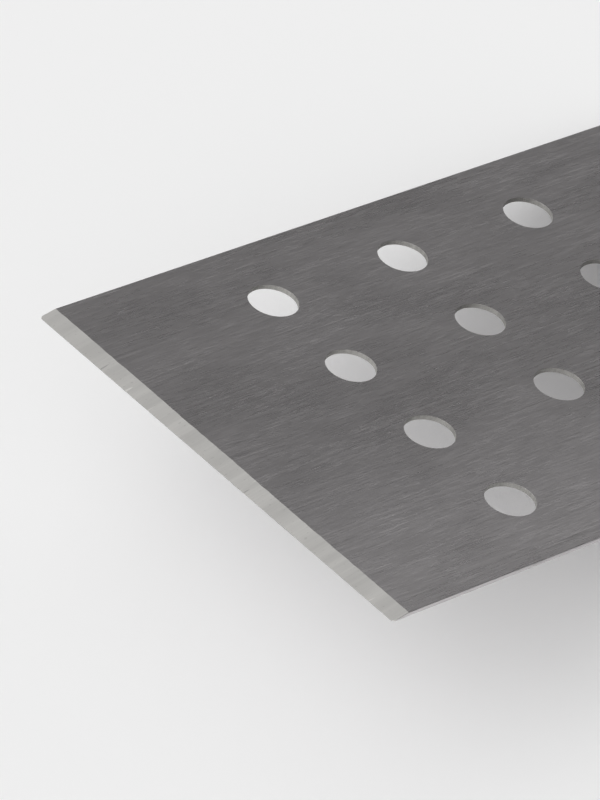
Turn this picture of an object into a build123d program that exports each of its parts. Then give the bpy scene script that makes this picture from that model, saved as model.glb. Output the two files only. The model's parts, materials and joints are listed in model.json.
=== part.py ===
"""Perforated griddle turner: a flat perforated blade riveted to a cranked full-tang handle.

A bail of bent wire hinges in the butt cap, to hang the turner by.

Row frame, millimetres: +X forward to the cutting edge, +Y left, +Z up, z = 0 the table. The turner
lies at rest on the rear edge of its blade and on its butt, so the blade points nose up. The origin is
the centre of the footprint of its bounding box, on the table.

Two local frames are used. BLADE has its origin on the underside at the middle of the rear edge, x
forward along the blade and z up through its thickness. HANDLE has its origin in the middle of the
tang, where the scales meet the butt cap, x forward along the handle.
"""

from build123d import *

import os
from math import asin, cos, degrees, radians, sin, tan

# Blade: 1 mm sheet, 4 rows of 3 holes, single bevel ground on the top of the front edge.
BLADE_LENGTH = 165.0
BLADE_WIDTH = 100.0
BLADE_THICKNESS = 1.0
BLADE_TILT = 16.2  # degrees nose up when the turner lies at rest
BEVEL_LENGTH = 3.7
EDGE_LAND = 0.12  # thickness left at the cutting edge
FRONT_CORNER_RADIUS = 0.8
REAR_CORNER_CLIP = 12.0  # legs of the 45 degree cut across each rear corner
HOLE_DIAMETER = 10.0
HOLE_ROWS = 4
HOLE_COLUMNS = 3
ROW_PITCH = 22.4  # across the blade
COLUMN_PITCH = 34.0  # along the blade
FIRST_COLUMN_TO_EDGE = 44.7

# Shank: one 3 mm bar, forged flat as a foot on the blade, cranked up, and running on as the tang.
BAR_THICKNESS = 3.0
BAR_STOCK_WIDTH = 60.0
FOOT_LENGTH = 38.0
FOOT_HALF_WIDTH = 18.0
FOOT_NOSE_RADIUS = 9.0
FOOT_NOSE_SPAN = 55.0  # degrees of the round nose on each side of the middle
HEEL_TO_RISER = 4.0  # foot left on the blade behind the start of the riser
NECK_HALF_WIDTH = 7.0
NECK_X = -14.0  # from the blade's rear edge along the table
SHANK_HALF_WIDTH = 8.5
SHANK_TAPER = 0.03  # slope of the shank's sides where they meet the bolsters
RISER_ANGLE = 34.0  # degrees, climbing to the rear
HEEL_BEND_RADIUS = 10.0
CREST_BEND_RADIUS = 14.0

# Rivets that hold the blade to the foot, in the BLADE frame.
BLADE_RIVET_DIAMETER = 4.0
BLADE_RIVET_HEAD_DIAMETER = 8.0
BLADE_RIVET_HEAD_HEIGHT = 1.7
BLADE_RIVET_RIM_HEIGHT = 0.3
BLADE_RIVET_SINK_DIAMETER = 6.0
REAR_RIVET_X = 13.0
REAR_RIVET_Y = 11.0
FRONT_RIVET_X = 29.0

# Handle, lengths along its own axis.
SCALE_LENGTH = 112.0
BOLSTER_LENGTH = 12.0
BUTT_LENGTH = 16.0
BUTT_HALF_WIDTH = 12.0
WAIST_HALF_WIDTH = 11.4
PALM_HALF_WIDTH = 13.2
FRONT_HALF_WIDTH = 10.4
BUTT_HALF_HEIGHT = 11.3
WAIST_HALF_HEIGHT = 10.4
PALM_HALF_HEIGHT = 11.6
FRONT_HALF_HEIGHT = 7.6
WAIST_X = 24.0
PALM_X = 66.0
PLAN_BLEND_X = 4.0  # the butt's parallel sides end here in plan, and its waist begins
SIDE_BLEND_X = 2.0  # the same seen from the side
FRONT_PLAN_TAPER = -0.06  # slope of the outline at the bolsters' front, in plan
FRONT_SIDE_TAPER = -0.16  # the same seen from the side
HANDLE_EDGE_RADIUS = 5.0
BUTT_CORNER_RADIUS = 6.0
BUTT_FLAT_X = -1.0  # behind this station the cap's underside is ground level with the table
LINER_THICKNESS = 0.8
TANG_REACH_IN_BUTT = 9.0
TENON_HALF_WIDTH = 7.0
PIN_DIAMETER = 3.0
BOLSTER_PIN_X = SCALE_LENGTH + BOLSTER_LENGTH / 2
BUTT_PIN_X = -4.5

# Two-part handle rivets: a barrel from above and a stud pressed into it from below.
RIVET_STATIONS = {"rear": 17.0, "middle": 56.0, "front": 95.0}
RIVET_HEAD_DIAMETER = 9.0
RIVET_HEAD_HEIGHT = 2.2
BARREL_DIAMETER = 5.6
STUD_DIAMETER = 3.4
BARREL_MOUTH_Z = -5.5
STUD_TIP_Z = 4.0

# Hanging bail: a bent wire whose ends turn in blind bores in the sides of the butt cap.
WIRE_DIAMETER = 3.0
BORE_CLEARANCE = 0.06  # radial
BORE_DEPTH = 4.0
WIRE_END_GAP = 0.3  # from each wire end to the bottom of its bore
PIVOT_X = -10.5
BAIL_ARM = 12.0
BAIL_HALF_WIDTH = 15.2
BAIL_BEND_RADIUS = 3.0
BAIL_GAP_TO_TABLE = 0.05

# Stance of the handle at rest.
HANDLE_RUN = 224.0  # table distance from the blade's rear edge to the scales' rear end
HANDLE_PITCH = 4.6  # degrees, the axis falls to the rear


def butt_height():
    """Height of the HANDLE origin that lays the flat under the butt cap on the table."""
    pitch = radians(HANDLE_PITCH)
    return BUTT_HALF_HEIGHT * cos(pitch) - BUTT_FLAT_X * sin(pitch)


BLADE = Location((0, 0, 0), (0, -BLADE_TILT, 0))
HANDLE = Location((-HANDLE_RUN, 0, butt_height()), (0, -HANDLE_PITCH, 0))


def to_row(frame, x, y, z):
    """A local point of BLADE or HANDLE in the table frame, before the shift to the footprint's centre."""
    return (frame * Location((x, y, z))).position


def hole_centres():
    """Centres of the drain holes in the BLADE frame, column by column from the cutting edge."""
    first_x = BLADE_LENGTH - FIRST_COLUMN_TO_EDGE
    first_y = -ROW_PITCH * (HOLE_ROWS - 1) / 2
    return [
        (first_x - column * COLUMN_PITCH, first_y + row * ROW_PITCH)
        for column in range(HOLE_COLUMNS)
        for row in range(HOLE_ROWS)
    ]


def blade_rivet_places():
    return {
        "left": (REAR_RIVET_X, REAR_RIVET_Y),
        "right": (REAR_RIVET_X, -REAR_RIVET_Y),
        "front": (FRONT_RIVET_X, 0.0),
    }


def drill(diameter, length, x=0.0, y=0.0, z=0.0):
    """A cylinder along z, centred on the given point."""
    return Pos(x, y, z) * Cylinder(diameter / 2, length)


def rivet_hole_in_blade(x, y):
    """The straight hole and its countersink, which opens to the underside."""
    sink = Cone(BLADE_RIVET_SINK_DIAMETER / 2, BLADE_RIVET_DIAMETER / 2, BLADE_THICKNESS)
    return Pos(x, y, BLADE_THICKNESS / 2) * sink


def blade_plate():
    middle = Pos(BLADE_LENGTH / 2, 0, BLADE_THICKNESS / 2)
    sheet = middle * Box(BLADE_LENGTH, BLADE_WIDTH, BLADE_THICKNESS)
    uprights = sheet.edges().filter_by(Axis.Z).group_by(Axis.X)
    sheet = chamfer(uprights[0], REAR_CORNER_CLIP)
    uprights = sheet.edges().filter_by(Axis.Z).group_by(Axis.X)
    sheet = fillet(uprights[-1], FRONT_CORNER_RADIUS)
    bevel_start = BLADE_LENGTH - BEVEL_LENGTH
    beyond = BLADE_LENGTH + BLADE_THICKNESS
    above = 2 * BLADE_THICKNESS
    bevel_waste = Polyline(
        (bevel_start, BLADE_THICKNESS),
        (BLADE_LENGTH, EDGE_LAND),
        (beyond, EDGE_LAND),
        (beyond, above),
        (bevel_start, above),
        close=True,
    )
    waste_profile = Plane.XZ * make_face(bevel_waste)
    sheet -= extrude(waste_profile, BLADE_WIDTH, both=True)
    for x, y in hole_centres():
        sheet -= drill(HOLE_DIAMETER, 4 * BLADE_THICKNESS, x, y)
    for x, y in blade_rivet_places().values():
        sheet -= rivet_hole_in_blade(x, y)
    return BLADE * sheet


def blade_rivet(x, y):
    """A solid rivet: domed head on the foot, tail filled flush into the blade's countersink."""
    seat = BLADE_THICKNESS + BAR_THICKNESS
    radius = BLADE_RIVET_DIAMETER / 2
    head_radius = BLADE_RIVET_HEAD_DIAMETER / 2
    rim = seat + BLADE_RIVET_RIM_HEIGHT
    crown = seat + BLADE_RIVET_HEAD_HEIGHT
    dome_radius = (head_radius**2 + (crown - rim) ** 2) / (2 * (crown - rim))
    outline = [
        Polyline(
            (0, crown),
            (0, 0),
            (BLADE_RIVET_SINK_DIAMETER / 2, 0),
            (radius, BLADE_THICKNESS),
            (radius, seat),
            (head_radius, seat),
            (head_radius, rim),
        ),
        RadiusArc((head_radius, rim), (0, crown), -dome_radius),
    ]
    profile = Plane.XZ * make_face(outline)
    return BLADE * Pos(x, y, 0) * revolve(profile, Axis.Z)


def bar_path():
    """Centreline of the bar in the vertical middle plane, from the foot's tip to the end of the tang."""
    foot_z = BLADE_THICKNESS + BAR_THICKNESS / 2
    tip = to_row(BLADE, FOOT_LENGTH, 0, foot_z)
    heel = to_row(BLADE, HEEL_TO_RISER, 0, foot_z)
    tang_end = to_row(HANDLE, -TANG_REACH_IN_BUTT, 0, 0)
    axis_slope = tan(radians(HANDLE_PITCH))
    riser_slope = -tan(radians(RISER_ANGLE))
    rise = heel.Z - riser_slope * heel.X - (tang_end.Z - axis_slope * tang_end.X)
    crest_x = rise / (axis_slope - riser_slope)
    crest_z = tang_end.Z + axis_slope * (crest_x - tang_end.X)
    return FilletPolyline(
        (tip.X, 0, tip.Z),
        (heel.X, 0, heel.Z),
        (crest_x, 0, crest_z),
        (tang_end.X, 0, tang_end.Z),
        radius=[HEEL_BEND_RADIUS, CREST_BEND_RADIUS],
    )


def shank_outline(rear_x):
    """Plan of the foot, neck and shank, in front of the handle."""
    tip_x = to_row(BLADE, FOOT_LENGTH, 0, 0).X
    shoulder_x = to_row(BLADE, REAR_RIVET_X, 0, 0).X
    nose = CenterArc((tip_x - FOOT_NOSE_RADIUS, 0), FOOT_NOSE_RADIUS, 0, FOOT_NOSE_SPAN)
    side = Spline(
        nose @ 1,
        (shoulder_x, FOOT_HALF_WIDTH),
        (NECK_X, NECK_HALF_WIDTH),
        (rear_x, SHANK_HALF_WIDTH),
        tangents=[nose % 1, (-1, SHANK_TAPER)],
    )
    closing = Line((rear_x, SHANK_HALF_WIDTH), (rear_x, -SHANK_HALF_WIDTH))
    edge = Wire([nose, side])
    return make_face([*edge.edges(), closing, *mirror(edge, Plane.XZ).edges()])


def handle_outline():
    """Plan of the whole handle, in the HANDLE frame, from the butt to the bolsters."""
    front_x = SCALE_LENGTH + BOLSTER_LENGTH
    side = [
        Line((-BUTT_LENGTH, 0), (-BUTT_LENGTH, BUTT_HALF_WIDTH)),
        Line((-BUTT_LENGTH, BUTT_HALF_WIDTH), (PLAN_BLEND_X, BUTT_HALF_WIDTH)),
        Spline(
            (PLAN_BLEND_X, BUTT_HALF_WIDTH),
            (WAIST_X, WAIST_HALF_WIDTH),
            (PALM_X, PALM_HALF_WIDTH),
            (front_x, FRONT_HALF_WIDTH),
            tangents=[(1, 0), (1, FRONT_PLAN_TAPER)],
        ),
        Line((front_x, FRONT_HALF_WIDTH), (front_x, 0)),
    ]
    edge = Wire(side)
    face = make_face([*edge.edges(), *mirror(edge, Plane.XZ).edges()])
    corners = [v for v in face.vertices() if v.X < -BUTT_LENGTH / 2 and abs(v.Y) > BUTT_HALF_WIDTH / 2]
    return fillet(corners, BUTT_CORNER_RADIUS)


def handle_side():
    """Side view of the whole handle, in the HANDLE frame's XZ plane."""
    front_x = SCALE_LENGTH + BOLSTER_LENGTH
    top = [
        Line((-BUTT_LENGTH, 0), (-BUTT_LENGTH, BUTT_HALF_HEIGHT)),
        Line((-BUTT_LENGTH, BUTT_HALF_HEIGHT), (SIDE_BLEND_X, BUTT_HALF_HEIGHT)),
        Spline(
            (SIDE_BLEND_X, BUTT_HALF_HEIGHT),
            (WAIST_X, WAIST_HALF_HEIGHT),
            (PALM_X, PALM_HALF_HEIGHT),
            (front_x, FRONT_HALF_HEIGHT),
            tangents=[(1, 0), (1, FRONT_SIDE_TAPER)],
        ),
        Line((front_x, FRONT_HALF_HEIGHT), (front_x, 0)),
    ]
    under = [mirror(line, Plane.XZ) for line in top[2:]]
    flat_rise = (BUTT_LENGTH + BUTT_FLAT_X) * tan(radians(HANDLE_PITCH))
    heel = Polyline(
        (SIDE_BLEND_X, -BUTT_HALF_HEIGHT),
        (BUTT_FLAT_X, -BUTT_HALF_HEIGHT),
        (-BUTT_LENGTH, -BUTT_HALF_HEIGHT + flat_rise),
        (-BUTT_LENGTH, 0),
    )
    return Plane.XZ * make_face([*top, *under, heel])


def handle_body():
    """The whole ground handle as one solid. Every handle piece is cut from it, so they run flush."""
    plan = extrude(handle_outline(), BAR_STOCK_WIDTH / 2, both=True)
    side = extrude(handle_side(), BAR_STOCK_WIDTH / 2, both=True)
    body = plan & side
    front_x = SCALE_LENGTH + BOLSTER_LENGTH

    def is_long_edge(edge):
        middle = edge.center()
        at_the_butt = middle.X < 1 - BUTT_LENGTH
        at_the_front = middle.X > front_x - 1
        crosses_the_handle = edge.bounding_box().size.X < 0.1 and not at_the_butt
        is_on_top_or_under = abs(middle.Z) > FRONT_HALF_HEIGHT - 0.1
        return is_on_top_or_under and not at_the_front and not crosses_the_handle

    return fillet(body.edges().filter_by(is_long_edge), HANDLE_EDGE_RADIUS).solid()


def slab(x_low, x_high, z_low, z_high):
    """A block across the whole handle between two stations and two heights, in the HANDLE frame."""
    centre = Pos((x_low + x_high) / 2, 0, (z_low + z_high) / 2)
    return centre * Box(x_high - x_low, BAR_STOCK_WIDTH, z_high - z_low)


def handle_rivet_holes():
    holes = [drill(BARREL_DIAMETER, BAR_STOCK_WIDTH, x) for x in RIVET_STATIONS.values()]
    return holes + [drill(PIN_DIAMETER, BAR_STOCK_WIDTH, x) for x in (BOLSTER_PIN_X, BUTT_PIN_X)]


def surface_height(body, x):
    """Height of the handle's top surface above the tang's middle, on the centreline."""
    needle = drill(0.1, BAR_STOCK_WIDTH, x)
    return (needle & body).bounding_box().max.Z


def tenon():
    """The narrowed end of the tang that fills the slot in the butt cap."""
    return Pos(-TANG_REACH_IN_BUTT / 2, 0, 0) * Box(TANG_REACH_IN_BUTT, 2 * TENON_HALF_WIDTH, BAR_THICKNESS)


def cranked_shank(body):
    path = bar_path()
    start = Plane(origin=path @ 0, x_dir=(0, 1, 0), z_dir=path % 0)
    bar = sweep(start * Rectangle(BAR_STOCK_WIDTH, BAR_THICKNESS), path)
    front_x = SCALE_LENGTH + BOLSTER_LENGTH
    overlap = 2.0
    rear_x = to_row(HANDLE, front_x, 0, 0).X - overlap
    shank = bar & extrude(shank_outline(rear_x), BAR_STOCK_WIDTH, both=True)
    shank -= HANDLE * slab(-BUTT_LENGTH, front_x, -BAR_STOCK_WIDTH, BAR_STOCK_WIDTH)
    tang = body & slab(0, front_x, -BAR_THICKNESS / 2, BAR_THICKNESS / 2)
    tang += tenon()
    for hole in handle_rivet_holes():
        tang -= hole
    whole = shank + HANDLE * tang
    for x, y in blade_rivet_places().values():
        whole -= BLADE * drill(BLADE_RIVET_DIAMETER, 4 * BAR_THICKNESS, x, y, BLADE_THICKNESS)
    return whole


def half_pieces(body, side):
    """Liner, scale and bolster of the upper (side = 1) or lower (side = -1) half of the handle."""
    tang_face = BAR_THICKNESS / 2
    liner_face = tang_face + LINER_THICKNESS
    outer = BAR_STOCK_WIDTH / 2

    def cut(x_low, x_high, z_low, z_high):
        low, high = sorted((side * z_low, side * z_high))
        return body & slab(x_low, x_high, low, high)

    pieces = {
        "liner": cut(0, SCALE_LENGTH, tang_face, liner_face),
        "scale": cut(0, SCALE_LENGTH, liner_face, outer),
        "bolster": cut(SCALE_LENGTH, SCALE_LENGTH + BOLSTER_LENGTH, tang_face, outer),
    }
    heads = []
    for x in RIVET_STATIONS.values():
        floor = surface_height(body, x) - RIVET_HEAD_HEIGHT
        heads.append(drill(RIVET_HEAD_DIAMETER, outer, x, 0, side * (floor + outer / 2)))
    for name in pieces:
        for hole in handle_rivet_holes() + (heads if name == "scale" else []):
            pieces[name] -= hole
    return {name: HANDLE * piece for name, piece in pieces.items()}


def rivet_barrel(body, x):
    """Hollow half of a handle rivet, its head ground flush with the upper scale."""
    top = surface_height(body, x)
    floor = top - RIVET_HEAD_HEIGHT
    head = body & drill(RIVET_HEAD_DIAMETER, BAR_STOCK_WIDTH, x, 0, floor + BAR_STOCK_WIDTH / 2)
    length = floor - BARREL_MOUTH_Z
    barrel = head + drill(BARREL_DIAMETER, length, x, 0, BARREL_MOUTH_Z + length / 2)
    clearance = 1.0
    bore = STUD_TIP_Z + clearance - BARREL_MOUTH_Z
    return HANDLE * (barrel - drill(STUD_DIAMETER, bore, x, 0, BARREL_MOUTH_Z + bore / 2))


def rivet_stud(body, x):
    """Solid half of a handle rivet, its head ground flush with the lower scale."""
    floor = surface_height(body, x) - RIVET_HEAD_HEIGHT
    head = body & drill(RIVET_HEAD_DIAMETER, BAR_STOCK_WIDTH, x, 0, -floor - BAR_STOCK_WIDTH / 2)
    collar = floor + BARREL_MOUTH_Z
    stud = head + drill(BARREL_DIAMETER, collar, x, 0, -floor + collar / 2)
    length = STUD_TIP_Z - BARREL_MOUTH_Z
    return HANDLE * (stud + drill(STUD_DIAMETER, length, x, 0, BARREL_MOUTH_Z + length / 2))


def pin(body, x):
    """A plain pin peened and ground flush with the metal block that it holds."""
    return HANDLE * (body & drill(PIN_DIAMETER, BAR_STOCK_WIDTH, x))


def butt_cap(body):
    cap = body & slab(-BUTT_LENGTH, 0, -BAR_STOCK_WIDTH, BAR_STOCK_WIDTH)
    cap -= tenon()
    cap -= drill(PIN_DIAMETER, BAR_STOCK_WIDTH, BUTT_PIN_X)
    bore_radius = WIRE_DIAMETER / 2 + BORE_CLEARANCE
    for side in (1, -1):
        bore = Rot(90, 0, 0) * Cylinder(bore_radius, 2 * BORE_DEPTH)
        cap -= Pos(PIVOT_X, side * BUTT_HALF_WIDTH, 0) * bore
    return HANDLE * cap


def pivot_point():
    """The bail's hinge axis crosses the middle plane here."""
    return to_row(HANDLE, PIVOT_X, 0, 0)


def bail_droop():
    """Angle in degrees below level at which the bail's bow meets the table."""
    reach = BAIL_ARM + BAIL_HALF_WIDTH
    drop = pivot_point().Z - WIRE_DIAMETER / 2 - BAIL_GAP_TO_TABLE
    return degrees(asin(drop / reach))


def hanging_bail():
    """Bent wire, drawn flat and pointing to the rear from its hinge, then turned down on to the table."""
    inner_end = BUTT_HALF_WIDTH - BORE_DEPTH + WIRE_END_GAP
    w, r = BAIL_HALF_WIDTH, BAIL_BEND_RADIUS
    path = Wire([
        Line((0, inner_end), (0, w - r)),
        CenterArc((-r, w - r), r, 0, 90),
        Line((-r, w), (-BAIL_ARM, w)),
        CenterArc((-BAIL_ARM, 0), w, 90, 180),
        Line((-BAIL_ARM, -w), (-r, -w)),
        CenterArc((-r, r - w), r, -90, 90),
        Line((0, r - w), (0, -inner_end)),
    ])
    section = Plane(origin=path @ 0, z_dir=path % 0) * Circle(WIRE_DIAMETER / 2)
    bail = sweep(section, path)
    pivot = pivot_point()
    return Location((pivot.X, pivot.Y, pivot.Z), (0, -bail_droop(), 0)) * bail


def build():
    """Every piece by node name, in the table frame before the shift to the footprint's centre."""
    body = handle_body()
    pieces = {
        "blade_plate": blade_plate(),
        "cranked_shank": cranked_shank(body),
        "butt_cap": butt_cap(body),
        "bolster_pin": pin(body, BOLSTER_PIN_X),
        "butt_pin": pin(body, BUTT_PIN_X),
        "hanging_bail": hanging_bail(),
    }
    for place, (x, y) in blade_rivet_places().items():
        pieces[f"blade_rivet_{place}"] = blade_rivet(x, y)
    for label, side in (("top", 1), ("bottom", -1)):
        for name, piece in half_pieces(body, side).items():
            pieces[f"{name}_{label}"] = piece
    for station, x in RIVET_STATIONS.items():
        pieces[f"rivet_barrel_{station}"] = rivet_barrel(body, x)
        pieces[f"rivet_stud_{station}"] = rivet_stud(body, x)
    return pieces


def footprint_shift(pieces):
    """Moves the middle of the bounding box's footprint to the origin. The table stays at z = 0."""
    box = Compound(children=[p.solid() for p in pieces.values()]).bounding_box(optimal=True)
    return Pos(-(box.min.X + box.max.X) / 2, 0, 0)


def main():
    os.makedirs("parts", exist_ok=True)
    pieces = build()
    shift = footprint_shift(pieces)
    for name, piece in pieces.items():
        export_step(shift * piece, f"parts/{name}.step")
        print(name, round(piece.volume, 1))


if __name__ == "__main__":
    main()
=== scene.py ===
"""Perforated griddle turner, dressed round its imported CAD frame. Metres, +X forward, +Y left, +Z up."""

import json
import math

import bmesh
import bpy
from mathutils import Matrix, Vector, noise
from mathutils.geometry import delaunay_2d_cdt


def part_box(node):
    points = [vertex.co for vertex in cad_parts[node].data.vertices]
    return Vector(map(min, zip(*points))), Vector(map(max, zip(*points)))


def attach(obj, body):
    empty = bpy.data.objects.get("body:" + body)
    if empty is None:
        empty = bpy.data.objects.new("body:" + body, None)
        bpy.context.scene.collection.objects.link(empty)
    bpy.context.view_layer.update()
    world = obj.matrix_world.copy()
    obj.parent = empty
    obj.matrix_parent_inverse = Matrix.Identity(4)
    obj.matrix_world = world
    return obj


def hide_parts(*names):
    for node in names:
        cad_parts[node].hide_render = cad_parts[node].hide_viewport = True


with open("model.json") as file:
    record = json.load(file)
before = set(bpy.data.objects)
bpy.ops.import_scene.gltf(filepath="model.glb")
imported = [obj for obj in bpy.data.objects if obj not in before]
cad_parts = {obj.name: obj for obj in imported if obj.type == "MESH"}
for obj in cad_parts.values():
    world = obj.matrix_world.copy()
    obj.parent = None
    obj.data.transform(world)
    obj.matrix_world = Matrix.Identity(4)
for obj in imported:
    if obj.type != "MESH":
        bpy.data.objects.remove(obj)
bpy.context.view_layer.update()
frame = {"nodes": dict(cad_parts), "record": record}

MM = 0.001

# The blade's own sizes, as in the CAD model.
BLADE_WIDTH = 100 * MM
BLADE_THICKNESS = 1.0 * MM
BEVEL_LENGTH = 3.7 * MM
EDGE_LAND = 0.12 * MM    # height left at the very front of the bevel
FRONT_CORNER_RADIUS = 0.8 * MM
REAR_CORNER_CLIP = 12 * MM
REAR_CORNER_RADIUS = 1.5 * MM
HOLE_RADIUS = 5 * MM
HOLE_ROWS = 4
HOLE_COLUMNS = 3
ROW_PITCH = 22.4 * MM
COLUMN_PITCH = 34 * MM
FIRST_COLUMN_TO_EDGE = 44.7 * MM
RIVET_RADIUS_TOP = 2 * MM
RIVET_RADIUS_UNDER = 3 * MM
RIVET_PLACES = [(13 * MM, 11 * MM), (13 * MM, -11 * MM), (29 * MM, 0)]

# Widths of the tiny chamfers on the blade's rim, round its holes and at its cutting edge.
EDGE_BREAK = 0.11 * MM
HOLE_BREAK = 0.04 * MM
CUTTING_EDGE_BREAK = 0.03 * MM
DEEPEST_BREAK = 0.3    # of the thickness there

# The bevel's start wanders by about BEVEL_WAVER, in a slow wave and a quick one. Of each wave: its length,
# its strength and its place in the noise.
BEVEL_WAVER = 0.15 * MM
BEVEL_WAVES = [(9 * MM, 0.6, (3.3, 0.7)), (1.7 * MM, 0.75, (8.1, 2.2))]

# How finely the blade's mesh follows its outline.
HOLE_SEGMENTS = 88
RIVET_SEGMENTS = 48
CUTTING_EDGE_STEPS = 90
BEVEL_LINE_STEPS = 120
ARC_STEP = 8    # most degrees that one side of a rounded corner turns
SMOOTH_BELOW = 9    # most degrees between two faces that shade as one
SAME_PLACE = 1e-9    # metres within which two points count as one
TRIANGLES_INSIDE = 1    # delaunay_2d_cdt's output_type for triangles within the outline

# Material slots of the blade's mesh.
BRUSHED_SLOT, GROUND_SLOT, CUT_SLOT = 0, 1, 2

# Base colours, linear.
BLADE_TOP = (0.446, 0.4285, 0.433)
BLADE_BEVEL = (0.76, 0.748, 0.725)
BLADE_CUT = (0.32, 0.314, 0.30)
SHANK = (0.42, 0.415, 0.41)
BOLSTER = (0.43, 0.425, 0.42)
RIVET = (0.47, 0.465, 0.455)
WIRE = (0.63, 0.625, 0.61)
FIBRE = (0.030, 0.028, 0.027)
FLOOR = (0.90, 0.90, 0.90)
WALNUT_FIGURE = [
    (0.12, (0.060, 0.030, 0.016)),
    (0.36, (0.135, 0.068, 0.034)),
    (0.58, (0.215, 0.115, 0.058)),
    (0.84, (0.300, 0.172, 0.090)),
]

# Painted highlight: the left side of the blade's top is painted brighter, standing in for light that falls
# there: y where that begins, y where it is full, and the gain.
PAINTED_LIGHT_SIDE = (0, 50 * MM, 1.27)

# Stance of the handle, for the direction of its grain.
HANDLE_PITCH = math.radians(4.6)
HANDLE_TURN = (0, -HANDLE_PITCH, 0)

# The camera, aimed at a point on the blade's top. Angles here and below are in degrees, and an azimuth runs
# from +X towards +Y.
CAMERA_AZIMUTH = 49.384
CAMERA_ELEVATION = 46.517
CAMERA_DISTANCE = 1.270
CAMERA_LENS = 308.1    # millimetres, as is the sensor's width
CAMERA_SENSOR = 36.0
AIM_BEHIND_EDGE = 28.149 * MM
AIM_RIGHT = 7.339 * MM

# Soft sources of the studio: (azimuth, elevation, strength at the centre, how tightly it falls away).
SOFT_SOURCES = [
    (0, 8, 0.64, 5),
    (-50, 8, 0.64, 5),
    (50, 8, 0.52, 5),
    (0, 34, 1.40, 5),
    (-50, 34, 0.88, 5),
    (50, 34, 0.43, 5),
    (0, 60, 0.68, 6),
    (228, 56, 0.64, 20),
    (184, 34, 0.24, 14),
]
ROOM_LIGHT = 0.18    # from all round
SEEN_BACKDROP = 0.80    # what the camera sees in place of the sources
FLOOR_REACH = 30.0


# ---------------------------------------------------------------- the blade's place

def blade_frame():
    """Matrix from blade coordinates to the row's, and the blade's length.

    Blade coordinates have their origin on the underside at the middle of the rear edge, x forward and z up
    through the sheet. They come from the flat face that the record states and from the blade's box.
    """
    face = next(m for m in frame["record"]["mounts"] if m["name"] == "blade_underside")
    up = -Vector(face["axis"]).normalized()
    left = Vector((0, 1, 0))
    forward = left.cross(up)
    point = Vector(face["pos_m"])
    heel = point - forward * (point.z / forward.z)
    turn = Matrix((forward, left, up)).transposed().to_4x4()
    length = (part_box("blade_plate")[1].x - heel.x) / forward.x
    return Matrix.Translation(heel) @ turn, length


BLADE, BLADE_LENGTH = blade_frame()


# ---------------------------------------------------------------- material helpers

NOISE_RANGE = (0.3, 0.7)    # where nearly all of a noise lies


def math_node(tree, operation, first, second):
    """The output of a new Math node whose inputs are numbers or other nodes' outputs."""
    node = tree.nodes.new("ShaderNodeMath")
    node.operation = operation
    for socket, value in zip(node.inputs, (first, second)):
        if isinstance(value, (int, float)):
            socket.default_value = value
        else:
            tree.links.new(value, socket)
    return node.outputs["Value"]


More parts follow.
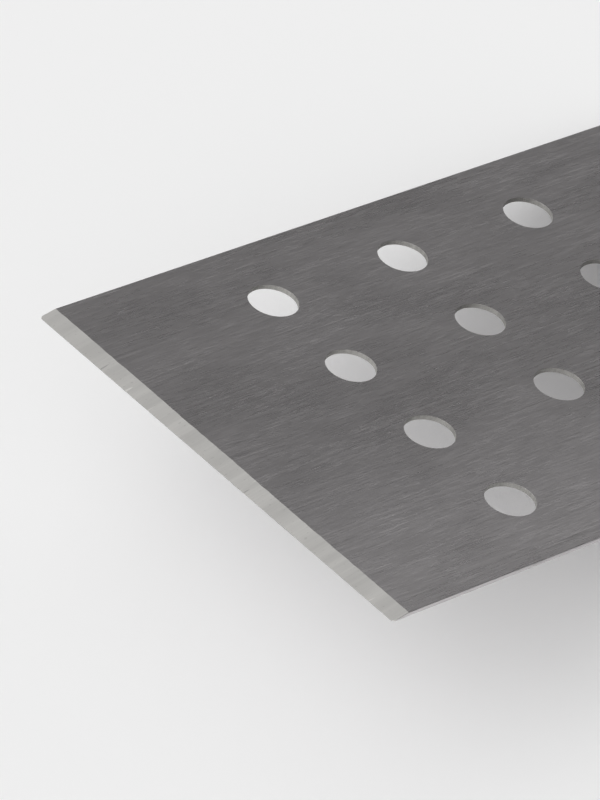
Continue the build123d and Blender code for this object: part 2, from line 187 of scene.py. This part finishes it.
class Nodes:
    """A material's node tree, with short calls for the nodes that every finish here is made of."""

    def __init__(self, name):
        self.material = bpy.data.materials.new(name)
        self.material.use_nodes = True
        self.tree = self.material.node_tree
        self.shader = self.tree.nodes["Principled BSDF"]
        self.place = self.tree.nodes.new("ShaderNodeTexCoord").outputs["Object"]

    def link(self, output, target):
        self.tree.links.new(output, target)

    def scaled(self, scale, turn=(0, 0, 0), shift=(0, 0, 0)):
        """The object's own coordinates, turned, then stretched to scale features a metre, then shifted."""
        turned = self.tree.nodes.new("ShaderNodeMapping")
        turned.vector_type = "TEXTURE"
        turned.inputs["Rotation"].default_value = turn
        self.link(self.place, turned.inputs["Vector"])
        stretched = self.tree.nodes.new("ShaderNodeMapping")
        stretched.inputs["Scale"].default_value = scale
        stretched.inputs["Location"].default_value = shift
        self.link(turned.outputs["Vector"], stretched.inputs["Vector"])
        return stretched.outputs["Vector"]

    def across(self):
        """The object's own y coordinate."""
        node = self.tree.nodes.new("ShaderNodeSeparateXYZ")
        self.link(self.place, node.inputs["Vector"])
        return node.outputs["Y"]

    def noise(self, vector, scale=1.0, detail=2.0, roughness=0.5, distortion=0.0):
        """Noise about 0.5."""
        node = self.tree.nodes.new("ShaderNodeTexNoise")
        node.inputs["Scale"].default_value = scale
        node.inputs["Detail"].default_value = detail
        node.inputs["Roughness"].default_value = roughness
        node.inputs["Distortion"].default_value = distortion
        self.link(vector, node.inputs["Vector"])
        return node.outputs["Fac"]

    def ranged(self, value, low, high, to_low=0.0, to_high=1.0):
        """value from low..high, eased and clamped, to to_low..to_high. low may be the higher number."""
        node = self.tree.nodes.new("ShaderNodeMapRange")
        node.interpolation_type = "SMOOTHSTEP"
        node.inputs["From Min"].default_value = low
        node.inputs["From Max"].default_value = high
        node.inputs["To Min"].default_value = to_low
        node.inputs["To Max"].default_value = to_high
        self.link(value, node.inputs["Value"])
        return node.outputs["Result"]

    def spread(self, value, to_low, to_high):
        """A noise, spread over to_low..to_high."""
        return self.ranged(value, *NOISE_RANGE, to_low, to_high)

    def add(self, first, second):
        return math_node(self.tree, "ADD", first, second)

    def subtract(self, first, second):
        return math_node(self.tree, "SUBTRACT", first, second)

    def times(self, first, second):
        return math_node(self.tree, "MULTIPLY", first, second)

    def ramp(self, value, stops):
        """The colour that value picks from stops of (position, colour)."""
        node = self.tree.nodes.new("ShaderNodeValToRGB")
        elements = node.color_ramp.elements
        while len(elements) < len(stops):
            elements.new(1.0)
        for element, (position, colour) in zip(elements, stops):
            element.position = position
            element.color = (*colour, 1.0)
        self.link(value, node.inputs["Fac"])
        return node.outputs["Color"]

    def tint(self, colour, factor):
        """A colour times a grey factor that varies over the surface."""
        node = self.tree.nodes.new("ShaderNodeMix")
        node.data_type = "RGBA"
        node.blend_type = "MULTIPLY"
        node.inputs["Factor"].default_value = 1.0
        if isinstance(colour, tuple):
            node.inputs["A"].default_value = (*colour, 1.0)
        else:
            self.link(colour, node.inputs["A"])
        self.link(factor, node.inputs["B"])
        return node.outputs["Result"]

    def bump(self, height, distance, under=None):
        """Relief of the given depth in metres, on top of the relief under it."""
        node = self.tree.nodes.new("ShaderNodeBump")
        node.inputs["Strength"].default_value = 1.0
        node.inputs["Distance"].default_value = distance
        self.link(height, node.inputs["Height"])
        if under is not None:
            self.link(under, node.inputs["Normal"])
        return node.outputs["Normal"]

    def finish(self, colour=None, roughness=None, normal=None, **sockets):
        """Links what varies, sets what is the same all over, and gives the material."""
        for output, name in ((colour, "Base Color"), (roughness, "Roughness"), (normal, "Normal")):
            if output is not None:
                self.link(output, self.shader.inputs[name])
        for name, value in sockets.items():
            self.shader.inputs[name.replace("_", " ")].default_value = value
        return self.material


# ---------------------------------------------------------------- finishes

def brushed_steel(name, base, roughness, turn=(0, 0, 0), streak_mm=0.33, run_mm=5.5, marks=1.0,
                  dent_mm=0.006, anisotropic=0.0, painted_light_side=None):
    """Stainless steel with a brushed finish along the turned x axis.

    An even fine grain carries short dashes, lighter or darker, that gather in places, a few long hairlines
    and slow cloudy patches. Dashes and hairlines are about streak_mm wide and dent_mm deep, and marks is how
    strongly they show in the tone. painted_light_side is as PAINTED_LIGHT_SIDE, or None: a painted highlight
    that brightens one side of the top.
    """
    n = Nodes(name)
    run, across = 1 / (run_mm * MM), 1 / (streak_mm * MM)
    grain = n.noise(n.scaled((run * 1.2, across * 1.8, across * 1.8), turn), detail=2.0)
    dash = n.noise(n.scaled((run, across, across), turn, (3.1, 7.7, 1.3)), detail=1.0, distortion=0.25)
    line = n.noise(n.scaled((run / 6, across / 1.3, across / 1.3), turn, (11.3, 4.9, 8.2)), detail=0.0)
    crowd = n.noise(n.scaled((70, 190, 190), turn, (6.4, 1.2, 9.1)), detail=1.0)
    cloud = n.noise(n.scaled((24, 60, 60), turn, (0.4, 2.2, 5.1)), detail=2.0, distortion=0.6)

    bright = n.add(n.ranged(dash, 0.58, 0.69), n.times(n.ranged(line, 0.66, 0.74), 0.7))
    dark = n.add(n.ranged(dash, 0.41, 0.29), n.times(n.ranged(line, 0.32, 0.24), 0.7))
    dents = n.subtract(n.times(bright, 0.7), dark)
    dents = n.times(dents, n.ranged(crowd, 0.35, 0.65, 0.45, 1.0))

    tone = n.times(n.spread(grain, 0.965, 1.03), n.spread(cloud, 0.965, 1.035))
    tone = n.add(tone, n.times(dents, 0.15 * marks))
    # Painted highlight: the tone is raised towards one side of the top, standing in for light.
    if painted_light_side is not None:
        start, end, gain = painted_light_side
        tone = n.times(tone, n.ranged(n.across(), start, end, 1.0, gain))
    rough = n.times(n.spread(grain, roughness * 0.9, roughness * 1.1), n.spread(cloud, 0.95, 1.06))
    relief = n.bump(dents, dent_mm * MM, under=n.bump(grain, 0.001 * MM))
    return n.finish(n.tint(base, tone), rough, relief, Metallic=1.0, Anisotropic=anisotropic)


def brush_tangent(material, uv_map):
    """Lays the material's anisotropy along the u axis of a UV map."""
    tree = material.node_tree
    tangent = tree.nodes.new("ShaderNodeTangent")
    tangent.direction_type = "UV_MAP"
    tangent.uv_map = uv_map
    tree.links.new(tangent.outputs["Tangent"], tree.nodes["Principled BSDF"].inputs["Tangent"])
    return material


def ground_steel(name):
    """The freshly ground bevel: matt, with the wheel's marks fore and aft, facets, nicks and burrs."""
    n = Nodes(name)
    marks = n.noise(n.scaled((60, 3000, 60)), detail=3.0, roughness=0.6)
    facets = n.noise(n.scaled((30, 300, 30), shift=(1.7, 6.1, 0.2)), detail=2.0)
    nick = n.noise(n.scaled((90, 1100, 60), shift=(4.4, 12.9, 0)), detail=1.0)
    burr = n.noise(n.scaled((900, 1900, 60), shift=(7.3, 2.9, 1)), detail=1.0)
    bright_nick = n.ranged(nick, 0.70, 0.74)
    dark_nick = n.ranged(nick, 0.29, 0.25)

    tone = n.times(n.spread(marks, 0.975, 1.025), n.spread(facets, 0.93, 1.05))
    tone = n.add(tone, n.times(bright_nick, 0.24))
    tone = n.subtract(tone, n.times(dark_nick, 0.26))
    tone = n.subtract(tone, n.times(n.ranged(burr, 0.33, 0.26), 0.12))
    relief = n.bump(marks, 0.004 * MM)
    relief = n.bump(facets, 0.02 * MM, under=relief)
    rough = n.spread(marks, 0.44, 0.56)
    return n.finish(n.tint(BLADE_BEVEL, tone), rough, relief, Metallic=1.0)


def cut_steel(name):
    """The walls that cutting left in the sheet: dull, with the cut's lines running through the thickness."""
    n = Nodes(name)
    lines = n.noise(n.scaled((5200, 5200, 350)), detail=2.0)
    stain = n.noise(n.scaled((240, 240, 240), shift=(2, 6, 3)), detail=2.0)
    tone = n.times(n.spread(lines, 0.85, 1.15), n.spread(stain, 0.9, 1.1))
    rough = n.spread(lines, 0.42, 0.6)
    return n.finish(n.tint(BLADE_CUT, tone), rough, n.bump(lines, 0.006 * MM), Metallic=1.0)


def polished_steel(name):
    """Stainless steel polished after the ends were ground flush: fine crossed hairlines."""
    n = Nodes(name)
    one_way = n.noise(n.scaled((220, 5200, 5200)), detail=2.0)
    other_way = n.noise(n.scaled((4100, 380, 4100), (0, 0, 0.5), (5, 2, 9)), detail=2.0)
    haze = n.noise(n.scaled((260, 260, 260), shift=(1, 4, 2)), detail=3.0)
    lines = n.add(n.times(one_way, 0.6), n.times(other_way, 0.4))
    tone = n.ranged(lines, 0.35, 0.65, 0.93, 1.04)
    rough = n.times(n.ranged(lines, 0.35, 0.65, 0.16, 0.24), n.ranged(haze, 0.35, 0.65, 0.9, 1.2))
    return n.finish(n.tint(RIVET, tone), rough, n.bump(lines, 0.003 * MM), Metallic=1.0)


def drawn_wire(name):
    """Bright drawn wire with a slight haze and a fine grain."""
    n = Nodes(name)
    haze = n.noise(n.scaled((420, 420, 420)), detail=4.0)
    specks = n.noise(n.scaled((2600, 2600, 2600), shift=(3, 1, 7)), detail=2.0)
    tone = n.spread(haze, 0.9, 1.05)
    rough = n.spread(haze, 0.17, 0.30)
    return n.finish(n.tint(WIRE, tone), rough, n.bump(specks, 0.004 * MM), Metallic=1.0)


def oiled_walnut(name, shift):
    """Walnut cut along the handle: growth rings, fibre, dark open pores and a low oil sheen."""
    n = Nodes(name)
    along = n.scaled((5.5, 60, 60), HANDLE_TURN, shift)
    warp = n.noise(along, scale=0.8, detail=3.0, distortion=0.5)
    rings = n.tree.nodes.new("ShaderNodeTexWave")
    rings.wave_type = "RINGS"
    rings.rings_direction = "X"
    rings.inputs["Scale"].default_value = 1.35
    rings.inputs["Distortion"].default_value = 3.6
    rings.inputs["Detail"].default_value = 2.5
    rings.inputs["Detail Scale"].default_value = 0.8
    n.link(along, rings.inputs["Vector"])
    fibre = n.noise(n.scaled((40, 2300, 2300), HANDLE_TURN, shift), detail=3.0, roughness=0.65)
    pores = n.noise(n.scaled((230, 3600, 3600), HANDLE_TURN, shift), detail=1.0)
    pore = n.ranged(pores, 0.34, 0.27)

    figure = n.add(n.times(rings.outputs["Fac"], 0.55), n.times(warp, 0.45))
    colour = n.ramp(figure, WALNUT_FIGURE)
    tone = n.subtract(n.spread(fibre, 0.80, 1.14), n.times(pore, 0.5))
    relief = n.bump(fibre, 0.03 * MM)
    relief = n.bump(n.subtract(1.0, pore), 0.06 * MM, under=relief)
    rough = n.spread(fibre, 0.40, 0.56)
    return n.finish(n.tint(colour, tone), rough, relief, Specular_IOR_Level=0.45)


def black_fibre(name):
    """Vulcanised fibre: black sheet with a faint layered edge."""
    n = Nodes(name)
    layers = n.noise(n.scaled((60, 60, 9000), HANDLE_TURN), detail=1.0)
    mottle = n.noise(n.scaled((900, 900, 900)), detail=3.0)
    tone = n.times(n.spread(layers, 0.75, 1.3), n.spread(mottle, 0.8, 1.2))
    rough = n.spread(mottle, 0.5, 0.66)
    return n.finish(n.tint(FIBRE, tone), rough, n.bump(mottle, 0.02 * MM))


def matt_white(name):
    """The floor's finish: matt white, with hardly any variation."""
    n = Nodes(name)
    mottle = n.noise(n.scaled((9, 9, 9)), detail=2.0)
    return n.finish(n.tint(FLOOR, n.spread(mottle, 0.998, 1.0)), Roughness=0.95)


# ---------------------------------------------------------------- the blade's outline

def circle(centre, radius, segments):
    """Points on a circle, counter-clockwise, each with its unit vector outward."""
    pairs = []
    for i in range(segments):
        angle = math.tau * i / segments
        spoke = Vector((math.cos(angle), math.sin(angle)))
        pairs.append((Vector(centre) + spoke * radius, spoke))
    return pairs


def rounded(before, corner, after, radius):
    """The arc that rounds a convex corner of a counter-clockwise outline, as (point, outward) pairs."""
    into = (corner - before).normalized()
    out = (after - corner).normalized()
    turn = into.angle(out)
    start = Vector((into.y, -into.x))
    centre = corner - into * radius * math.tan(turn / 2) - start * radius
    steps = math.ceil(math.degrees(turn) / ARC_STEP)
    pairs = []
    for i in range(steps + 1):
        spoke = Matrix.Rotation(turn * i / steps, 2) @ start
        pairs.append((centre + spoke * radius, spoke))
    return pairs


def bevel_start(y):
    """Where the ground bevel begins on the top, at a place across the blade."""
    waver = 0
    for length, strength, place in BEVEL_WAVES:
        waver += strength * noise.noise(Vector((y / length, *place)))
    return BLADE_LENGTH - BEVEL_LENGTH + BEVEL_WAVER * waver


def top_height(point):
    """Height of the blade's top over a point of its plan."""
    start = bevel_start(point.y)
    if point.x <= start + SAME_PLACE:
        return BLADE_THICKNESS
    share = (point.x - start) / (BLADE_LENGTH - start)
    return BLADE_THICKNESS - share * (BLADE_THICKNESS - EDGE_LAND)


def outline():
    """The blade's plan, counter-clockwise: (point, unit vector outward) pairs."""
    half = BLADE_WIDTH / 2
    right = [
        Vector((0, REAR_CORNER_CLIP - half)),
        Vector((REAR_CORNER_CLIP, -half)),
        Vector((BLADE_LENGTH, -half)),
    ]
    corners = right + [Vector((c.x, -c.y)) for c in reversed(right)]
    radii = [REAR_CORNER_RADIUS, REAR_CORNER_RADIUS, FRONT_CORNER_RADIUS]
    radii += radii[::-1]

    # Points between one corner and the next, by the first corner's place in the list.
    mid_bevel = BLADE_LENGTH - BEVEL_LENGTH / 2
    reach = half - FRONT_CORNER_RADIUS
    steps = range(1, CUTTING_EDGE_STEPS)
    between = {
        1: [Vector((bevel_start(-half), -half)), Vector((mid_bevel, -half))],
        2: [Vector((BLADE_LENGTH, -reach + 2 * reach * i / CUTTING_EDGE_STEPS)) for i in steps],
        3: [Vector((mid_bevel, half)), Vector((bevel_start(half), half))],
    }
    pairs = []
    for i, corner in enumerate(corners):
        after = corners[(i + 1) % len(corners)]
        pairs += rounded(corners[i - 1], corner, after, radii[i])
        run = (after - corner).normalized()
        pairs += [(point, Vector((run.y, -run.x))) for point in between.get(i, [])]
    return pairs


def hole_centres():
    """Where the drain holes are in the plan, column by column from the front."""
    for column in range(HOLE_COLUMNS):
        for row in range(HOLE_ROWS):
            x = BLADE_LENGTH - FIRST_COLUMN_TO_EDGE - column * COLUMN_PITCH
            yield x, (row - (HOLE_ROWS - 1) / 2) * ROW_PITCH


def rim_break(point):
    """Width of the chamfer on the blade's rim. It dies away towards the cutting edge."""
    share = max(0.0, (point.x - (BLADE_LENGTH - BEVEL_LENGTH)) / BEVEL_LENGTH)
    return EDGE_BREAK + (CUTTING_EDGE_BREAK - EDGE_BREAK) * min(1.0, share)


def hole_break(point):
    """Width of the chamfer round a drain hole, the same all round."""
    return HOLE_BREAK


def rim_rings(pairs, inward, width_at):
    """Four rings of points, from the top face over the wall to the underside, for one contour of the plan.

    inward is 1 where the sheet lies inside the contour, and -1 where it lies outside. width_at gives the
    chamfer's width at a point.
    """
    rings = [[], [], [], []]
    for point, outward in pairs:
        width = width_at(point)
        inset = point - outward * width * inward
        top = top_height(point)
        depth = min(width, top * DEEPEST_BREAK)
        rings[0].append(Vector((inset.x, inset.y, top_height(inset))))
        rings[1].append(Vector((point.x, point.y, top - depth)))
        rings[2].append(Vector((point.x, point.y, depth)))
        rings[3].append(Vector((inset.x, inset.y, 0)))
    return rings


def rivet_rings(place):
    """The countersink of a rivet hole, wider below."""
    top = circle(place, RIVET_RADIUS_TOP, RIVET_SEGMENTS)
    under = circle(place, RIVET_RADIUS_UNDER, RIVET_SEGMENTS)
    return [[p.to_3d() + Vector((0, 0, BLADE_THICKNESS)) for p, _ in top], [p.to_3d() for p, _ in under]]


# ---------------------------------------------------------------- the blade's mesh

def grow(bm, rings):
    """BMVerts at the points of each ring."""
    return [[bm.verts.new(point) for point in ring] for ring in rings]


def bevel_line(bm, top_rim):
    """Chain of BMVerts along the bevel's start, from the right side of the blade's top rim to the left."""
    close_enough = 0.02 * MM
    ends = [v for v in top_rim if abs(v.co.x - bevel_start(v.co.y)) < close_enough]
    right, left = sorted(ends, key=lambda v: v.co.y)
    chain = [right]
    for i in range(1, BEVEL_LINE_STEPS):
        y = right.co.y + (left.co.y - right.co.y) * i / BEVEL_LINE_STEPS
        chain.append(bm.verts.new((bevel_start(y), y, BLADE_THICKNESS)))
    return chain + [left]


def skin(bm, outer, inner, line, facing_down=False):
    """Fills the plan between an outer ring of BMVerts and inner ones with flat triangles.

    line is a chain of BMVerts that the triangles' edges follow. A triangle with all its corners on one inner
    ring lies inside a hole, because the holes are round and hold no points, so it is left out.
    """
    verts, edges, owner = [], [], {}
    for ring in [outer] + inner:
        first, count = len(verts), len(ring)
        verts += ring
        edges += [(first + i, first + (i + 1) % count) for i in range(count)]
        if ring is not outer:
            owner.update((vert, first) for vert in ring)
    place = {vert: i for i, vert in enumerate(verts)}
    for vert in line:
        if vert not in place:
            place[vert] = len(verts)
            verts.append(vert)
    edges += [(place[a], place[b]) for a, b in zip(line, line[1:])]
    plan = [vert.co.xy / MM for vert in verts]
    _, _, triangles, sources, _, _ = delaunay_2d_cdt(plan, edges, [], TRIANGLES_INSIDE, SAME_PLACE / MM)
    for triangle in triangles:
        corners = [verts[sources[i][0]] for i in triangle]
        owners = {owner.get(vert) for vert in corners}
        if owners == {None} or len(owners) > 1:
            bm.faces.new(corners[::-1] if facing_down else corners).smooth = False


def walls(bm, rings, flip):
    """Quads between successive rings of BMVerts, as a list of faces."""
    faces = []
    count = len(rings[0])
    for upper, lower in zip(rings, rings[1:]):
        for i in range(count):
            j = (i + 1) % count
            quad = [upper[i], lower[i], lower[j], upper[j]]
            face = bm.faces.new(quad[::-1] if flip else quad)
            face.smooth = True
            faces.append(face)
    return faces


def assign_finishes(bm, hole_walls):
    """Gives each face its material slot, and the UV map that the brushing runs along."""
    bm.normal_update()
    uv = bm.loops.layers.uv.new("brush")
    for face in bm.faces:
        middle = face.calc_center_median()
        on_top = face.normal.z > 0.5
        at_cutting_edge = middle.x > BLADE_LENGTH - EDGE_LAND
        if face in hole_walls or (face.smooth and at_cutting_edge):
            face.material_index = CUT_SLOT
        elif on_top and middle.x > bevel_start(middle.y):
            face.material_index = GROUND_SLOT
        else:
            face.material_index = BRUSHED_SLOT
        for loop in face.loops:
            loop[uv].uv = (loop.vert.co.x, loop.vert.co.y)


def blade_mesh():
    """The perforated sheet in blade coordinates, with broken edges and a slightly uneven bevel."""
    bm = bmesh.new()
    rim = grow(bm, rim_rings(outline(), inward=1, width_at=rim_break))
    inner = []
    for centre in hole_centres():
        edge = circle(centre, HOLE_RADIUS, HOLE_SEGMENTS)
        inner.append(grow(bm, rim_rings(edge, inward=-1, width_at=hole_break)))
    for place in RIVET_PLACES:
        inner.append(grow(bm, rivet_rings(place)))
    line = bevel_line(bm, rim[0])

    skin(bm, rim[0], [rings[0] for rings in inner], line)
    skin(bm, rim[-1], [rings[-1] for rings in inner], [], facing_down=True)
    walls(bm, rim, flip=False)
    hole_walls = set()
    for rings in inner:
        hole_walls.update(walls(bm, rings, flip=True))
    assign_finishes(bm, hole_walls)

    mesh = bpy.data.meshes.new("blade_sheet")
    bm.to_mesh(mesh)
    bm.free()
    mesh.set_sharp_from_angle(angle=math.radians(SMOOTH_BELOW))
    return mesh


def blade_sheet():
    """The blade with its three finishes, in place of the CAD one."""
    mesh = blade_mesh()
    # The blade's top gets a painted highlight over its left side.
    brushed = brushed_steel(
        "blade brushed steel", BLADE_TOP, 0.30, dent_mm=0.03, anisotropic=0.5, painted_light_side=PAINTED_LIGHT_SIDE
    )
    # In the order of their slots.
    mesh.materials.append(brush_tangent(brushed, "brush"))
    mesh.materials.append(ground_steel("blade ground bevel"))
    mesh.materials.append(cut_steel("blade cut walls"))

    piece = bpy.data.objects.new("blade_sheet", mesh)
    bpy.context.scene.collection.objects.link(piece)
    piece.matrix_world = BLADE
    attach(piece, "turner")
    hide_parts("blade_plate")


# ---------------------------------------------------------------- the carried-over CAD pieces

def dress(node, material):
    """Gives a CAD node its finish."""
    data = frame["nodes"][node].data
    data.materials.clear()
    data.materials.append(material)


def dress_cad_pieces():
    """Finishes for every node but the blade's."""
    shank = brushed_steel(
        "shank satin steel", SHANK, 0.34, HANDLE_TURN, streak_mm=0.22, run_mm=8, marks=0.8
    )
    block = brushed_steel(
        "bolster satin steel", BOLSTER, 0.30, HANDLE_TURN, streak_mm=0.16, run_mm=4, marks=0.6
    )
    rivet = polished_steel("rivet polished steel")
    fibre = black_fibre("liner fibre")
    dress("cranked_shank", shank)
    for node in ("bolster_top", "bolster_bottom", "butt_cap"):
        dress(node, block)
    for node in frame["nodes"]:
        if node.startswith(("blade_rivet", "rivet_", "bolster_pin", "butt_pin")):
            dress(node, rivet)
        if node.startswith("liner"):
            dress(node, fibre)
    dress("scale_top", oiled_walnut("top scale walnut", (0.3, 0.45, 1.2)))
    dress("scale_bottom", oiled_walnut("bottom scale walnut", (2.1, 1.7, 0.4)))
    dress("hanging_bail", drawn_wire("bail drawn wire"))


# ---------------------------------------------------------------- the studio

def floor():
    """A flat sheet under the turner, far wider than the view."""
    mesh = bpy.data.meshes.new("floor")
    signs = [(-1, -1), (1, -1), (1, 1), (-1, 1)]
    mesh.from_pydata([(x * FLOOR_REACH, y * FLOOR_REACH, 0) for x, y in signs], [], [(0, 1, 2, 3)])
    sheet = bpy.data.objects.new("floor", mesh)
    bpy.context.scene.collection.objects.link(sheet)
    mesh.materials.append(matt_white("floor matt white"))


def direction(azimuth, elevation):
    """Unit vector at angles in degrees, azimuth from +X towards +Y."""
    round_z, up = math.radians(azimuth), math.radians(elevation)
    return Vector((math.cos(up) * math.cos(round_z), math.cos(up) * math.sin(round_z), math.sin(up)))


def studio():
    """A world of soft light: broad glows in front, smaller ones behind, a dim room, and a pale backdrop."""
    world = bpy.data.worlds.new("studio")
    bpy.context.scene.world = world
    world.use_nodes = True
    tree = world.node_tree
    ray = tree.nodes.new("ShaderNodeTexCoord").outputs["Generated"]

    total = ROOM_LIGHT
    for azimuth, elevation, strength, tightness in SOFT_SOURCES:
        dot = tree.nodes.new("ShaderNodeVectorMath")
        dot.operation = "DOT_PRODUCT"
        tree.links.new(ray, dot.inputs[0])
        dot.inputs[1].default_value = direction(azimuth, elevation)
        facing = math_node(tree, "MAXIMUM", dot.outputs["Value"], 0.0)
        falloff = math_node(tree, "POWER", facing, tightness)
        glow = math_node(tree, "MULTIPLY", falloff, strength)
        total = math_node(tree, "ADD", glow, total)

    # The camera sees an even backdrop, while the glows light the object.
    seen = tree.nodes.new("ShaderNodeLightPath").outputs["Is Camera Ray"]
    mix = tree.nodes.new("ShaderNodeMix")
    tree.links.new(seen, mix.inputs["Factor"])
    tree.links.new(total, mix.inputs["A"])
    mix.inputs["B"].default_value = SEEN_BACKDROP
    background = tree.nodes["Background"]
    background.inputs["Color"].default_value = (1, 1, 1, 1)
    tree.links.new(mix.outputs["Result"], background.inputs["Strength"])


def camera():
    """The camera, at the photograph's viewing angle."""
    data = bpy.data.cameras.new("camera")
    data.lens = CAMERA_LENS
    data.sensor_width = CAMERA_SENSOR
    data.clip_start = 0.05
    data.clip_end = 2 * FLOOR_REACH
    eye = bpy.data.objects.new("camera", data)
    bpy.context.scene.collection.objects.link(eye)
    aim = BLADE @ Vector((BLADE_LENGTH - AIM_BEHIND_EDGE, -AIM_RIGHT, BLADE_THICKNESS))
    back = direction(CAMERA_AZIMUTH, CAMERA_ELEVATION)
    eye.location = aim + back * CAMERA_DISTANCE
    eye.rotation_mode = "QUATERNION"
    eye.rotation_quaternion = (-back).to_track_quat("-Z", "Y")
    bpy.context.scene.camera = eye


bpy.context.scene.view_settings.view_transform = "Standard"
blade_sheet()
dress_cad_pieces()
floor()
studio()
camera()
